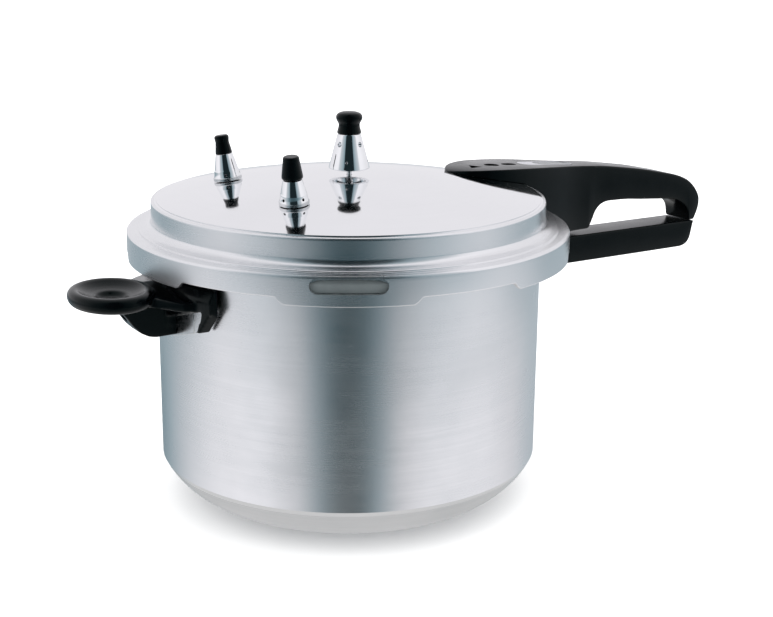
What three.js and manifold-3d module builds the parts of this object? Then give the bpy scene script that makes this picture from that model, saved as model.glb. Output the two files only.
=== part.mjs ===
// Stovetop pressure cooker: aluminium pot, bayonet lid, black handles and three valves.
// Millimetres. Origin at the centre of the pot's underside, +Z up, long handle along +X.
import * as THREE from "three";
import { mergeVertices } from "three/addons/utils/BufferGeometryUtils.js";
import { ConvexGeometry } from "three/addons/geometries/ConvexGeometry.js";
import Module from "manifold-3d";

const wasm = await Module();
wasm.setup();

// Driving dimensions.
const potRadius = 122;
const wall = 2;
const baseRadius = 83;
const baseThickness = 5;
const bevelTop = 28.3;
const rimTop = 168.3;
const rimFlange = 127.5;
const lugReach = 133.5;
const lidRim = 123.6;
const lidRimHeight = 193;
const domeRise = 13.3;
const skirtRadius = 140;
const skirtInner = 137.2;
const skirtBottom = 161.9;
const lugBottom = 157.5;
const lidSheet = 2.5;
const ledgeUnder = 172.7;
const lugCount = 6;
const windowTurn = 240;
const gap = 0.3;
const barHalf = 12.7;
const barEnd = 285;
const lowerTop = 149.9;
const throatLow = 154;
const lowerBottom = 130.5;
const valveX = -63;
const valveY = 45;
const aroundPot = 48;

const material = (color, roughness, metalness) =>
  new THREE.MeshStandardMaterial({ color, roughness, metalness });
const aluminium = material(0xd4d6da, 0.28, 1);
const chrome = material(0xe8e9eb, 0.08, 1);
const steel = material(0xb9bcc0, 0.3, 1);
const bakelite = material(0x0b0c0e, 0.3, 0);
const silicone = material(0xb8bcbb, 0.6, 0);

const part = new THREE.Group();
part.name = "pressure_cooker";

// Geometry to solid, and solid to named mesh.
function solid(geometry) {
  geometry.deleteAttribute("normal");
  geometry.deleteAttribute("uv");
  const merged = mergeVertices(geometry, 1e-4);
  return new wasm.Manifold(
    new wasm.Mesh({
      numProp: 3,
      vertProperties: new Float32Array(merged.attributes.position.array),
      triVerts: new Uint32Array(merged.index.array),
    }),
  );
}

function add(name, body, look) {
  const data = body.getMesh();
  const geometry = new THREE.BufferGeometry();
  const positions = new THREE.BufferAttribute(data.vertProperties, 3);
  geometry.setAttribute("position", positions);
  geometry.setIndex(new THREE.BufferAttribute(data.triVerts, 1));
  const flat = geometry.toNonIndexed();
  flat.computeVertexNormals();
  const mesh = new THREE.Mesh(flat, look);
  mesh.name = name;
  part.add(mesh);
}

// Solid of revolution about Z from [radius, height] points listed anticlockwise.
function turned(points, segments) {
  const profile = points.map(([radius, height]) => new THREE.Vector2(radius, height));
  return solid(new THREE.LatheGeometry(profile, segments).rotateX(Math.PI / 2));
}

// A closed ring of revolution, such as a washer or a skirt.
const turnedRing = (points, segments) => turned([...points, points[0]], segments);

const shapeOf = (points) => new THREE.Shape(points.map(([x, y]) => new THREE.Vector2(x, y)));

// Prism with its outline in X and Y, between two heights.
function upright(shape, low, high, curveSegments = 12) {
  const options = { depth: high - low, bevelEnabled: false, curveSegments };
  return solid(new THREE.ExtrudeGeometry(shape, options).translate(0, 0, low));
}

// Prism with its outline in X and Z, reaching the same distance each side of Y = 0.
function sideways(shape, half, curveSegments = 6) {
  const options = { depth: 2 * half, bevelEnabled: false, curveSegments };
  const geometry = new THREE.ExtrudeGeometry(shape, options);
  return solid(geometry.translate(0, 0, -half).rotateX(Math.PI / 2));
}

// Prism with its outline in Y and Z, between two distances out from the axis, at a turn.
function outward(shape, near, far, turn, curveSegments = 6) {
  const options = { depth: far - near, bevelEnabled: false, curveSegments };
  const geometry = new THREE.ExtrudeGeometry(shape, options);
  geometry.rotateY(Math.PI / 2).rotateX(Math.PI / 2).translate(near, 0, 0);
  return solid(geometry.rotateZ(THREE.MathUtils.degToRad(turn)));
}

// Points of an arc from one point to another that bulges to its right by the given rise.
function arc([ax, ay], [bx, by], rise, steps) {
  const halfChord = Math.hypot(bx - ax, by - ay) / 2;
  const radius = (halfChord ** 2 + rise ** 2) / (2 * rise);
  const [ux, uy] = [(bx - ax) / (2 * halfChord), (by - ay) / (2 * halfChord)];
  const points = [];
  for (let i = 0; i <= steps; i++) {
    const along = halfChord * (2 * i / steps - 1);
    const out = Math.sqrt(radius ** 2 - along ** 2) - (radius - rise);
    const [mx, my] = [(ax + bx) / 2, (ay + by) / 2];
    points.push([mx + ux * along + uy * out, my + uy * along - ux * out]);
  }
  return points;
}

// Upright wedge from the axis outwards, for cutting a sector out of a ring.
function wedge(turn, half, reach, low, high) {
  const corner = (degrees) => {
    const angle = THREE.MathUtils.degToRad(degrees);
    return [reach * Math.cos(angle), reach * Math.sin(angle)];
  };
  return upright(shapeOf([[0, 0], corner(turn - half), corner(turn), corner(turn + half)]), low, high);
}

const lugTurns = Array.from({ length: lugCount }, (_, i) => (i * 360) / lugCount);
const union = (bodies) => bodies.reduce((total, body) => total.add(body));

// Bar outline with half-round ends.
function roundedBar(half, low, high) {
  const radius = (high - low) / 2;
  const middle = (high + low) / 2;
  const bar = new THREE.Shape();
  bar.absarc(half - radius, middle, radius, -Math.PI / 2, Math.PI / 2);
  bar.absarc(radius - half, middle, radius, Math.PI / 2, (3 * Math.PI) / 2);
  return bar;
}

// The lid's dome, and placing things square to it.
const domeRadius = (lidRim ** 2 + domeRise ** 2) / (2 * domeRise);
const domeTop = lidRimHeight + domeRise;
const domeCentre = domeTop - domeRadius;

function onDome(x, y) {
  const height = Math.sqrt(domeRadius ** 2 - x * x - y * y);
  const normal = new THREE.Vector3(x, y, height).normalize();
  const turn = new THREE.Quaternion().setFromUnitVectors(new THREE.Vector3(0, 0, 1), normal);
  const place = new THREE.Vector3(x, y, domeCentre + height);
  const matrix = new THREE.Matrix4().compose(place, turn, new THREE.Vector3(1, 1, 1));
  return (body) => body.transform(matrix.elements);
}

// Turned fasteners: head below or outside, shank along +Z from the seat.
function fastener(headRadius, headHeight, shankRadius, shankLength, segments = 12) {
  return turned(
    [
      [0, -headHeight],
      [headRadius * 0.75, -headHeight],
      [headRadius, -headHeight * 0.5],
      [headRadius, 0],
      [shankRadius, 0],
      [shankRadius, shankLength],
      [0, shankLength],
    ],
    segments,
  );
}

const rod = (radius, low, high, segments = 16) =>
  turned([[0, low], [radius, low], [radius, high], [0, high]], segments);

// Turns what was made along -Z so that it points out from the axis, at a turn and height.
const radial = (turn, height) => (body) =>
  body.rotate([0, -90, 0]).translate([0, 0, height]).rotate([0, 0, turn]);

// Pot: flat base, rounded bevel up to a crease, straight wall, flange with bayonet lugs.
const potOutside = [[0, 0], ...arc([baseRadius, 0], [potRadius, bevelTop], 6, 6)];
const innerRadius = potRadius - wall;
const potInside = [
  ...arc([baseRadius, baseThickness], [innerRadius, bevelTop + 1], 5, 4).reverse(),
  [0, baseThickness],
];
const potShell = turned(
  [
    ...potOutside,
    [potRadius, rimTop - 4],
    [rimFlange, rimTop - 3],
    [rimFlange, rimTop - 0.8],
    [rimFlange - 0.8, rimTop],
    [innerRadius, rimTop],
    ...potInside,
  ],
  aroundPot,
);
const lugRing = turnedRing(
  [
    [rimFlange - 2, rimTop - 3.6],
    [lugReach, lugBottom + 3.1],
    [lugReach, lugBottom + 5.8],
    [rimFlange - 2, rimTop - 0.9],
  ],
  aroundPot,
);
const potLugs = union(lugTurns.map((turn) => wedge(turn, 12, 200, 100, 200)));
const lowerRivetTurn = 11.25;
const lowerMiddle = (lowerTop + lowerBottom) / 2;
const helperTurn = 180;
const rivetSpots = {
  helper_rivet_upper: radial(helperTurn, 145),
  helper_rivet_lower: radial(helperTurn, 127),
  lower_rivet_left: radial(lowerRivetTurn, lowerMiddle),
  lower_rivet_right: radial(-lowerRivetTurn, lowerMiddle),
};
const bracketInner = potRadius + gap;
const bracketOuter = bracketInner + 2;
const rivetHead = bracketOuter + gap;
const rivetSeat = 1.1 - innerRadius;
const rivetHoles = union(
  Object.values(rivetSpots).map((spot) => spot(rod(2.8, -bracketOuter - 3, -innerRadius + 3))),
);
add("pot_body", potShell.add(lugRing.intersect(potLugs)).subtract(rivetHoles), aluminium);

// Lid: one pressed sheet with dome, step, ledge, skirt, six deeper lugs and a window.
function domePoints(radius, from, to, steps) {
  return Array.from({ length: steps + 1 }, (_, i) => {
    const reach = from + ((to - from) * i) / steps;
    return [reach, domeCentre + Math.sqrt(radius ** 2 - reach ** 2)];
  });
}
const stepWall = lidRim + 1;
const lidOutside = (grow) => [
  ...arc([skirtRadius + grow, 171.2], [136, 175.2 + grow], 1.15 + grow * 0.3, 3),
  [129.5 + grow * 0.2, 175.6 + grow],
  [126.4 + grow * 0.5, 177.4 + grow],
  [stepWall + grow, 179.6 + grow * 0.5],
  [stepWall + grow, lidRimHeight - 1.2],
  ...domePoints(domeRadius + grow, lidRim + grow * 0.6, 0, 6),
];
const lidShellBlank = turned(
  [
    [skirtInner, lugBottom],
    [skirtRadius, lugBottom],
    ...lidOutside(0),
    ...domePoints(domeRadius - lidSheet, 0, lidRim - 3, 4),
    [stepWall - lidSheet, 188.5],
    [stepWall - lidSheet, ledgeUnder],
    [skirtInner - 2.6, ledgeUnder],
    [skirtInner, ledgeUnder - 2.6],
    [skirtInner, lugBottom],
  ],
  aroundPot,
);
const lugShape = shapeOf([
  [-42, skirtBottom + 0.1],
  [-40.4, skirtBottom - 0.8],
  [-37.6, lugBottom + 0.5],
  [-36.4, lugBottom - 0.2],
  [36.4, lugBottom - 0.2],
  [37.6, lugBottom + 0.5],
  [40.4, skirtBottom - 0.8],
  [42, skirtBottom + 0.1],
]);
const lidLugs = union(lugTurns.map((turn) => outward(lugShape, 120, 150, turn)));
const skirtTrim = turnedRing(
  [[134, 150], [144, 150], [144, skirtBottom], [134, skirtBottom]],
  aroundPot,
).subtract(lidLugs);
const toothRing = turnedRing(
  [
    [128.6, lugBottom + 0.1],
    [138.4, lugBottom + 0.1],
    [138.4, lugBottom + 2.7],
    [128.6, lugBottom + 2.7],
  ],
  aroundPot,
);
const lidTeeth = toothRing.intersect(union(lugTurns.map((turn) => wedge(turn, 13, 200, 100, 200))));
const skirtWindow = outward(roundedBar(21.9, 164.5, 173.8), 135.2, 150, windowTurn);

// Spring-loaded valves stand square to the dome, one each side of the centre line. Each cap
// outline is [radius, height above the cap's foot] from the foot to the crown.
const valves = [
  {
    name: "rear_valve",
    place: onDome(valveX, valveY),
    shoulder: 17,
    shoulderRadius: 5.4,
    holeTurn: 0,
    capHeight: 12,
    capOutline: [[5.3, 0], [5.3, 0.6], [4.2, 7.7], [4.6, 9.3], [4.6, 10.9], [3.4, 11.7]],
  },
  {
    name: "front_valve",
    place: onDome(valveX, -valveY),
    shoulder: 15,
    shoulderRadius: 5.7,
    holeTurn: 45,
    capHeight: 14,
    capOutline: [[5.4, 0], [6.3, 0.8], [6.3, 2], [4.9, 11.7], [4.8, 13.1], [4, 13.7]],
  },
];
const valveShank = 4;
const valveHoles = union(valves.map(({ place }) => place(rod(valveShank + gap, -8, 4))));
const ventHole = onDome(0, 0)(rod(1.9, -8, 4));

const handleScrews = { upper_handle_screw_rear: [108, 12], upper_handle_screw_front: [108, -12] };
const screwHoles = union(
  Object.values(handleScrews).map(([x, y]) => onDome(x, y)(rod(2.3, -8, 5.6))),
);
const lidShell = lidShellBlank
  .subtract(skirtTrim)
  .add(lidTeeth)
  .subtract(skirtWindow)
  .subtract(valveHoles)
  .subtract(ventHole)
  .subtract(screwHoles);
add("lid_shell", lidShell, aluminium);

add(
  "sealing_gasket",
  turnedRing(
    [
      [121.6, rimTop + gap],
      [skirtInner - gap, rimTop + gap],
      [skirtInner - gap, ledgeUnder - 3],
      [skirtInner - 2.9, ledgeUnder - gap],
      [121.6, ledgeUnder - gap],
      [120.6, 170.6],
    ],
    aroundPot,
  ),
  silicone,
);

// Upper handle: a tongue lying on the dome, a grip, and a curved end over the lower handle.
const plateFrom = 133;
const plateTo = 177;
const plateSlope = -0.0721;
const handleTopAt = (x) => 203.4 + plateSlope * (x - 117);
const upperSide = new THREE.Shape();
upperSide.moveTo(76, 190);
upperSide.lineTo(76, 202.2);
upperSide.quadraticCurveTo(95, 204.9, 117, 203.4);
upperSide.lineTo(178, handleTopAt(178));
upperSide.quadraticCurveTo(216, 196, 254, 188.1);
upperSide.bezierCurveTo(276, 183.5, 280, 180.5, 284.7, 175.4);
upperSide.bezierCurveTo(292, 168, 292, 162, 286, lowerTop + gap);
upperSide.lineTo(281.2, lowerTop + gap);
upperSide.bezierCurveTo(281.2, 161, 275, 166.8, 262, 167.8);
upperSide.lineTo(218, 171.6);
upperSide.bezierCurveTo(196, 173.4, 196, 170.5, 191.6, 164.6);
upperSide.lineTo(186.4, throatLow);
upperSide.lineTo(126, throatLow);
upperSide.lineTo(126, 190);

function symmetricPlan(points, tip) {
  const outline = new THREE.Shape();
  outline.moveTo(tip, 0);
  const near = points.map(([x, y]) => new THREE.Vector2(x, -y));
  const far = points.map(([x, y]) => new THREE.Vector2(x, y)).reverse();
  outline.splineThru(near);
  outline.lineTo(far[0].x, far[0].y);
  far.push(new THREE.Vector2(tip, 0));
  outline.splineThru(far.slice(1));
  return outline;
}
const upperPlan = symmetricPlan(
  [
    [77, 6],
    [84, 15],
    [97, 21.4],
    [112, 23.2],
    [130, 22.2],
    [155, 17.6],
    [178, 13.2],
    [200, barHalf],
    [292, barHalf],
  ],
  75.6,
);
const lidEnvelope = turned([[0, 100], [skirtRadius + gap, 100], ...lidOutside(gap)], aroundPot);
const plateOutline = (grow) => {
  const bar = roundedBar((plateTo - plateFrom) / 2 + grow, -7 - grow, 7 + grow);
  return upright(bar, 150, 250).translate([(plateFrom + plateTo) / 2, 0, 0]);
};
const underTop = (high, low) =>
  sideways(
    shapeOf([
      [plateFrom - 2, handleTopAt(plateFrom - 2) + low],
      [plateTo + 2, handleTopAt(plateTo + 2) + low],
      [plateTo + 2, handleTopAt(plateTo + 2) + high],
      [plateFrom - 2, handleTopAt(plateFrom - 2) + high],
    ]),
    20,
  );
const upperHandle = sideways(upperSide, 40)
  .intersect(upright(upperPlan, 100, 250, 3))
  .subtract(lidEnvelope)
  .subtract(screwHoles)
  .subtract(plateOutline(gap).intersect(underTop(5, -1.1)));
add("upper_handle", upperHandle, bakelite);
add("handle_inlay_plate", plateOutline(0).intersect(underTop(0.3, -0.8)), steel);
for (const [name, [x, y]] of Object.entries(handleScrews)) {
  const screw = fastener(4, 2.4, 2, 7.6).translate([0, 0, -lidSheet - gap]);
  add(name, onDome(x, y)(screw), steel);
}

// Lower handle, its riveted steel bracket and the screw through its underside.
const lowerSide = new THREE.Shape();
lowerSide.moveTo(115, lowerBottom);
lowerSide.lineTo(barEnd - 11, lowerBottom + 0.6);
lowerSide.quadraticCurveTo(barEnd - 2.6, lowerBottom + 2.2, barEnd - 1.4, 140);
lowerSide.lineTo(barEnd + 0.6, lowerTop - 0.6);
lowerSide.lineTo(barEnd, lowerTop);
lowerSide.lineTo(115, lowerTop);
const tongueEnd = 162;
const tongueLow = 137;
const tongueHigh = 140;
const lowerScrewAt = [150, 0];
const tongueBox = (grow) =>
  sideways(
    shapeOf([
      [120, tongueLow - grow],
      [tongueEnd + grow, tongueLow - grow],
      [tongueEnd + grow, tongueHigh + grow],
      [120, tongueHigh + grow],
    ]),
    8 + grow,
  );
const potEnvelope = (grow) => rod(bracketOuter + grow, 50, 200, aroundPot);
const bracketPlate = (turn, half, low, high) =>
  turnedRing(
    [[bracketInner, low], [bracketOuter, low], [bracketOuter, high], [bracketInner, high]],
    aroundPot,
  ).intersect(wedge(turn, half, 300, low - 1, high + 1));
const lowerScrewHole = rod(2.3, 120, 146).add(rod(4.6, 120, 133.2)).translate([...lowerScrewAt, 0]);
const lowerBracket = bracketPlate(0, 15, 133, 147)
  .add(tongueBox(0).subtract(rod(bracketInner, 50, 200, aroundPot)))
  .subtract(lowerScrewHole)
  .subtract(rivetHoles);
add("lower_handle_bracket", lowerBracket, steel);
const lowerHandle = sideways(lowerSide, barHalf)
  .subtract(potEnvelope(gap))
  .subtract(tongueBox(gap))
  .subtract(lowerScrewHole);
add("lower_handle", lowerHandle, bakelite);
const lowerScrew = fastener(4.2, 2.2, 2, 11).translate([...lowerScrewAt, 132.9]);
add("lower_handle_screw", lowerScrew, steel);

// Helper handle: a dished round grip, a ridged neck with a gusset, and an arched seat.
const gripCentre = -160.5;
const gripHalfLength = 25.3;
const gripHalfWidth = 30.5;
const gripLow = 143.2;
const gripHigh = 152.8;
const dishHalfLength = 19.8;
const dishHalfWidth = 23.5;
const dishFloor = 148.4;
const dishFlare = { low: 0.62, high: 1.1 };
const wellHalfLength = 10;
const wellHalfWidth = 12;
const wellFloor = 145.2;
const seatHigh = 156.8;
const seatHalfAngle = 22.8;
const gripShape = new THREE.Shape();
gripShape.absellipse(gripCentre, 0, gripHalfLength, gripHalfWidth, 0, 2 * Math.PI);
const wellShape = new THREE.Shape();
wellShape.absellipse(0, 0, wellHalfLength, wellHalfWidth, 0, 2 * Math.PI);
const dishShape = new THREE.Shape();
dishShape.absellipse(0, 0, dishHalfLength, dishHalfWidth, 0, 2 * Math.PI);
const dishCut = new THREE.ExtrudeGeometry(dishShape, {
  depth: 6,
  bevelEnabled: false,
  curveSegments: 18,
});
const dishPositions = dishCut.getAttribute("position");
for (let i = 0; i < dishPositions.count; i++) {
  const flare = dishPositions.getZ(i) > 0 ? dishFlare.high : dishFlare.low;
  dishPositions.setX(i, dishPositions.getX(i) * flare);
  dishPositions.setY(i, dishPositions.getY(i) * flare);
}
const dish = upright(wellShape, wellFloor, 200, 18)
  .add(solid(dishCut.translate(0, 0, dishFloor)))
  .translate([gripCentre, 0, 0]);
const corners = (x, y, z) => [new THREE.Vector3(x, y, z), new THREE.Vector3(x, -y, z)];
const neck = solid(
  new ConvexGeometry([
    ...corners(-149, 21, gripLow + 0.6),
    ...corners(-148.5, 19, 150),
    ...corners(-131, 38, 142),
    ...corners(-131, 38.5, 148.4),
    ...corners(-134, 1.5, 154),
    ...corners(-118, 3, 155),
    ...corners(-118, 44, 149),
    ...corners(-118, 44, 142),
  ]),
);
const seat = turnedRing(
  [[120, 127.5], [130, 127.5], [131, 130], [131, 150], [127, seatHigh], [120, seatHigh]],
  aroundPot,
).intersect(wedge(180, seatHalfAngle, 300, 100, 200));
const arch = [-1, 1].map((side) => {
  const points = [
    [9, 100], [70, 100], [70, 142], [49.5, 142], [41, 129.6],
    [38.6, 130], [42, 137], [44, 143.8], [21, 136.5], [9, 134],
  ];
  const mirrored = points.map(([y, z]) => [side * y, z]);
  return outward(shapeOf(side < 0 ? mirrored.reverse() : mirrored), 110, 145, 180);
});
const gussetSide = new THREE.Shape();
gussetSide.moveTo(-118, 121.5);
gussetSide.lineTo(-138, 121);
gussetSide.quadraticCurveTo(-146, 121.5, -151, 128.5);
gussetSide.quadraticCurveTo(-156, 136, -165, gripLow + 2);
gussetSide.lineTo(-118, gripLow + 2);
const gusset = sideways(gussetSide, 8.6);
const helperScrewHole = rod(2.3, -160, -120).add(rod(4.8, -160, -140.2)).rotate([0, 90, 0]);
const helperScrewHeight = 136;
const rivetPockets = union(
  Object.values(rivetSpots).map((spot) => spot(rod(4, -rivetHead - 2, -innerRadius))),
);
const helperHandle = upright(gripShape, gripLow, gripHigh, 20)
  .add(neck)
  .add(seat.subtract(union(arch)))
  .add(gusset)
  .subtract(dish)
  .subtract(potEnvelope(gap))
  .subtract(rivetPockets)
  .subtract(helperScrewHole.translate([0, 0, helperScrewHeight]));
add("helper_handle", helperHandle, bakelite);

const bracketSlopes = [-1, 1].map((side) => {
  const points = [[3, 110], [60, 110], [60, 136.2], [3, 119]].map(([y, z]) => [side * y, z]);
  return outward(shapeOf(side < 0 ? points.reverse() : points), 110, 145, 180);
});
const helperBracket = bracketPlate(helperTurn, 17.5, 119, 150)
  .subtract(union(bracketSlopes))
  .subtract(rivetHoles)
  .subtract(rod(1.4, 100, 150).rotate([0, 90, 180]).translate([0, 0, helperScrewHeight]));
add("helper_handle_bracket", helperBracket, steel);
const helperScrew = fastener(4.4, 2.2, 2, 14.6).rotate([0, 90, 0]);
add("helper_handle_screw", helperScrew.translate([-140.5, 0, helperScrewHeight]), steel);

for (const [name, spot] of Object.entries(rivetSpots)) {
  const rivet = turned(
    [
      [0, -rivetHead - 1.6],
      [2.4, -rivetHead - 1.4],
      [3.6, -rivetHead],
      [2.5, -rivetHead],
      [2.5, rivetSeat],
      [4.6, rivetSeat],
      [3.4, rivetSeat + 1.2],
      [0, rivetSeat + 1.4],
    ],
    12,
  );
  add(name, spot(rivet), steel);
}

// Vent pipe through the middle of the dome, flanged underneath.
const centre = onDome(0, 0);
const ventPipe = turnedRing(
  [
    [0.8, -lidSheet - 7],
    [3.4, -lidSheet - 7],
    [3.4, -lidSheet - 2.4],
    [6.5, -lidSheet - 2.4],
    [6.5, -lidSheet - gap],
    [1.6, -lidSheet - gap],
    [1.6, 13.7],
    [0.8, 13.7],
  ],
  14,
);
add("vent_pipe", centre(ventPipe), steel);

// Pressure regulator: a hollow cone with two rows of holes, and its black knob.
const regulatorGap = 4;
const regulatorTop = 26;
const regulatorCone = turned(
  [
    [8.6, 14],
    [10.6, regulatorGap + 0.5],
    [11.4, regulatorGap],
    [12.6, regulatorGap],
    [13, regulatorGap + 0.6],
    [7.5, regulatorTop - 0.3],
    [7.2, regulatorTop],
    [2.8, regulatorTop],
    [2.8, 20.6],
    [0, 20.6],
    [0, 14],
    [8.6, 14],
  ],
  28,
);
const holeTurn = 240;
const ringOfHoles = (radius, height, reach, first) =>
  union(
    [0, 90, 180, 270].map((turn) =>
      radial(turn + first, height)(rod(radius, -20, -reach, 8)),
    ),
  );
const regulatorWeight = regulatorCone
  .subtract(ringOfHoles(1.2, regulatorTop - 5.8, 5, holeTurn + 48))
  .subtract(ringOfHoles(0.9, 9, 8, holeTurn + 82));
add("regulator_weight", centre(regulatorWeight), chrome);
const regulatorKnob = turned(
  [
    [0, 21],
    [2.5, 21],
    [2.5, regulatorTop + gap],
    [7.5, regulatorTop + gap],
    [6.9, 30.5],
    [6.9, 32.6],
    ...arc([7.9, 35], [4.6, 39.4], 1.5, 3),
    [0, 40],
  ],
  20,
);
add("regulator_knob", centre(regulatorKnob), bakelite);

// Each spring valve: chrome body with threaded shank, nut, poppet stem, spring and cap.
function hexNut(across, bore, low, high) {
  const hexagon = new THREE.Shape();
  hexagon.absarc(0, 0, across / Math.sqrt(3), 0, 2 * Math.PI);
  return upright(hexagon, low, high, 6).subtract(rod(bore, low - 1, high + 1));
}

class Coil extends THREE.Curve {
  constructor(radius, low, high, turns) {
    super();
    Object.assign(this, { radius, low, high, turns });
  }
  getPoint(t) {
    const angle = 2 * Math.PI * this.turns * t;
    const height = this.low + (this.high - this.low) * t;
    return new THREE.Vector3(this.radius * Math.cos(angle), this.radius * Math.sin(angle), height);
  }
}

const chamberLow = -5.2;
const stemPlay = 0.3;
for (const valve of valves) {
  const { name, place, shoulder } = valve;
  const chamberHigh = shoulder - 1.6;
  const body = turned(
    [
      [1.3, -9],
      [valveShank, -9],
      [valveShank, gap],
      [9, gap],
      [9, 2.2],
      [8.6, 2.4],
      [7.9, 6.5],
      [7.6, 7.2],
      [valve.shoulderRadius, shoulder],
      [1 + stemPlay, shoulder],
      [1 + stemPlay, chamberHigh],
      [2.9, chamberHigh],
      [2.9, chamberLow],
      [1.3, chamberLow],
      [1.3, -9],
    ],
    18,
  ).subtract(ringOfHoles(0.9, 4.2, 2, holeTurn + valve.holeTurn));
  add(name + "_body", place(body), chrome);
  const nutHigh = -lidSheet - gap;
  add(name + "_nut", place(hexNut(13, valveShank + gap, nutHigh - 4, nutHigh)), steel);
  const capTop = shoulder + valve.capHeight;
  const stemTop = capTop - 3;
  const stem = [
    [0, chamberLow + gap],
    [2.3, chamberLow + gap],
    [2.3, chamberLow + 2],
    [1, chamberLow + 2.4],
    [1, stemTop],
    [0, stemTop],
  ];
  add(name + "_stem", place(turned(stem, 14)), steel);
  const wire = new THREE.Shape();
  wire.absarc(0, 0, 0.3, 0, 2 * Math.PI);
  const coil = new Coil(1.95, chamberLow + 2.7, chamberHigh - 0.6, 5);
  const spring = new THREE.ExtrudeGeometry(wire, { steps: 40, curveSegments: 3, extrudePath: coil });
  add(name + "_spring", place(solid(spring)), steel);
  const capProfile = [
    [1.3, shoulder + gap],
    ...valve.capOutline.map(([radius, height]) => [radius, shoulder + gap + height]),
    [0, capTop],
    [0, stemTop + gap],
    [1.3, stemTop + gap],
    [1.3, shoulder + gap],
  ];
  add(name + "_cap", place(turned(capProfile, 18)), bakelite);
}

export default part;
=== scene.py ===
import math

import bmesh
import bpy
from mathutils import Matrix, Vector


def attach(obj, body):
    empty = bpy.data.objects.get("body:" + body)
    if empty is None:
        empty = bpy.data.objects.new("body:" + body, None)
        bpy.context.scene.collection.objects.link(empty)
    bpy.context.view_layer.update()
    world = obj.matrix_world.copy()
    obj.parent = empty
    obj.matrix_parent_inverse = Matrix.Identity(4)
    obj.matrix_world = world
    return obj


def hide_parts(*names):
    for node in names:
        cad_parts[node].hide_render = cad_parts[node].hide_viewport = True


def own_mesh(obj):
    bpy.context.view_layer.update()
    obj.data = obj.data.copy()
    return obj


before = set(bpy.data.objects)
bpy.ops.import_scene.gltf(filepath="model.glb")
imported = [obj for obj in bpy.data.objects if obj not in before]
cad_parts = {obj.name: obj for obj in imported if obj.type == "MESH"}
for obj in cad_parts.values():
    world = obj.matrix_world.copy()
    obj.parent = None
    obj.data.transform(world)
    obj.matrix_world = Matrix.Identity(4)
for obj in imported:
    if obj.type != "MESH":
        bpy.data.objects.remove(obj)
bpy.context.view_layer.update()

MM = 0.001
TAU = 2 * math.pi

# ---------------------------------------------------------------- dimensions, in millimetres

POT_R = 122.0
INNER_R = 120.0
BASE_R = 83.0
BEVEL_TOP = 28.3
RIM_TOP = 168.3
RIM_FLANGE = 127.5
LUG_REACH = 133.5
BRACKET_IN = 122.3
BRACKET_OUT = 124.3
SHANK_HOLE = 2.8  # radius of the rivet holes
SCREW_HOLE = 2.3
LID_RIM = 123.6
STEP_WALL = 124.6
LID_RIM_Z = 193.0
DOME_RISE = 13.3
CREASE_DEPTH = 0.45
SKIRT_R = 140.0
SKIRT_IN = 137.2
SKIRT_LOW = 161.9
LUG_LOW = 157.5
LEDGE_UNDER = 172.7
SHEET = 2.5
GAP = 0.3
VALVE_X, VALVE_Y = -63.0, 45.0
BAR_HALF = 12.7
LOWER_TOP = 149.9
LOWER_SCREW_X = 150
HELPER_SCREW_Z = 136
FRONT = 240.0  # degrees from +X to the side that the camera sees
DOME_SPHERE = (LID_RIM**2 + DOME_RISE**2) / (2 * DOME_RISE)
DOME_TOP = LID_RIM_Z + DOME_RISE
DOME_CENTRE = DOME_TOP - DOME_SPHERE


# ---------------------------------------------------------------- small geometry tools

def dome_z(radius, offset=0.0):
    return DOME_CENTRE + math.sqrt((DOME_SPHERE + offset) ** 2 - radius**2)


def on_dome(x, y):
    """Matrix, in mm, that stands a part made along +Z square to the dome at x, y."""
    height = math.sqrt(DOME_SPHERE**2 - x * x - y * y)
    turn = Vector((0, 0, 1)).rotation_difference(Vector((x, y, height)))
    return Matrix.Translation((x, y, DOME_CENTRE + height)) @ turn.to_matrix().to_4x4()


def rounded(points, steps=4):
    """Profile with each (a, b, radius) corner replaced by a small curve."""
    out = []
    for i, point in enumerate(points):
        if len(point) < 3:
            out.append((point[0], point[1]))
            continue
        here = Vector(point[:2])
        before = Vector(points[i - 1][:2]) - here
        after = Vector(points[(i + 1) % len(points)][:2]) - here
        reach = min(point[2], before.length * 0.49, after.length * 0.49)
        start, end = here + before.normalized() * reach, here + after.normalized() * reach
        for k in range(steps + 1):
            t = k / steps
            p = start * (1 - t) ** 2 + here * 2 * t * (1 - t) + end * t * t
            out.append((p.x, p.y))
    return out


def arc(start, end, rise, steps):
    """Points of an arc that bulges to the right of start to end by rise."""
    a, b = Vector(start), Vector(end)
    half = (b - a).length / 2
    radius = (half**2 + rise**2) / (2 * rise)
    along = (b - a).normalized()
    right = Vector((along.y, -along.x))
    out = []
    for k in range(steps + 1):
        s = half * (2 * k / steps - 1)
        p = (a + b) / 2 + along * s + right * (math.sqrt(radius**2 - s * s) - (radius - rise))
        out.append((p.x, p.y))
    return out


def smoothstep(low, high, value):
    t = min(max((value - low) / (high - low), 0.0), 1.0)
    return t * t * (3 - 2 * t)


def curve(points):
    """Monotone cubic through (x, value) points, as a function of x."""
    xs = [p[0] for p in points]
    ys = [p[1] for p in points]
    n = len(xs)
    slopes = [(ys[i + 1] - ys[i]) / (xs[i + 1] - xs[i]) for i in range(n - 1)]
    grads = [slopes[0]]
    for i in range(1, n - 1):
        a, b = slopes[i - 1], slopes[i]
        grads.append(0.0 if a * b <= 0 else 2 * a * b / (a + b))
    grads.append(slopes[-1])

    def value(x):
        x = min(max(x, xs[0]), xs[-1])
        i = max(k for k in range(n - 1) if xs[k] <= x)
        h = xs[i + 1] - xs[i]
        t = (x - xs[i]) / h
        return (
            ys[i] * (1 + 2 * t) * (1 - t) ** 2
            + grads[i] * h * t * (1 - t) ** 2
            + ys[i + 1] * t * t * (3 - 2 * t)
            + grads[i + 1] * h * t * t * (t - 1)
        )

    return value


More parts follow.
